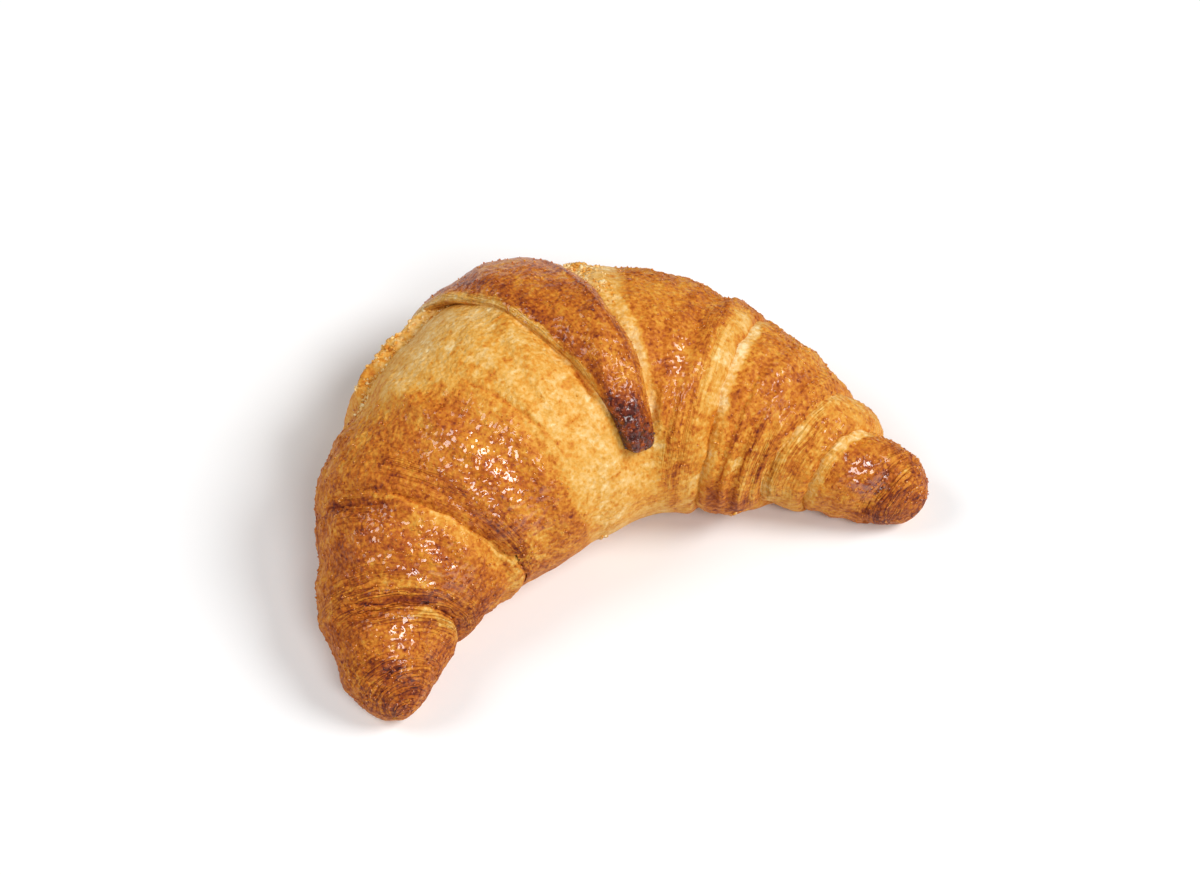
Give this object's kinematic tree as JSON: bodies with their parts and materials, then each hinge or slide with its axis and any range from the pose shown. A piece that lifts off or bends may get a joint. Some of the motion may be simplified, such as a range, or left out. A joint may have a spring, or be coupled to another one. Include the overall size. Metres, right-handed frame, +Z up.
{
  "type": "sugar croissant",
  "caption": "Crescent of rolled, layered dough with stepped wraps, a raised tongue over the top and a sugared, browned crust.",
  "frame": {"origin": "middle of the bounding box in plan, on the flat base", "axes": "+X from the left tip to the right tip, +Z up, and the horns point towards -Y"},
  "size_m": [0.1558, 0.0974, 0.0569],
  "materials": {
    "baked_crust": "baked golden brown crust with melted sugar"
  },
  "bodies": {
    "root": {"croissant": "baked_crust"}
  },
  "joints": []
}
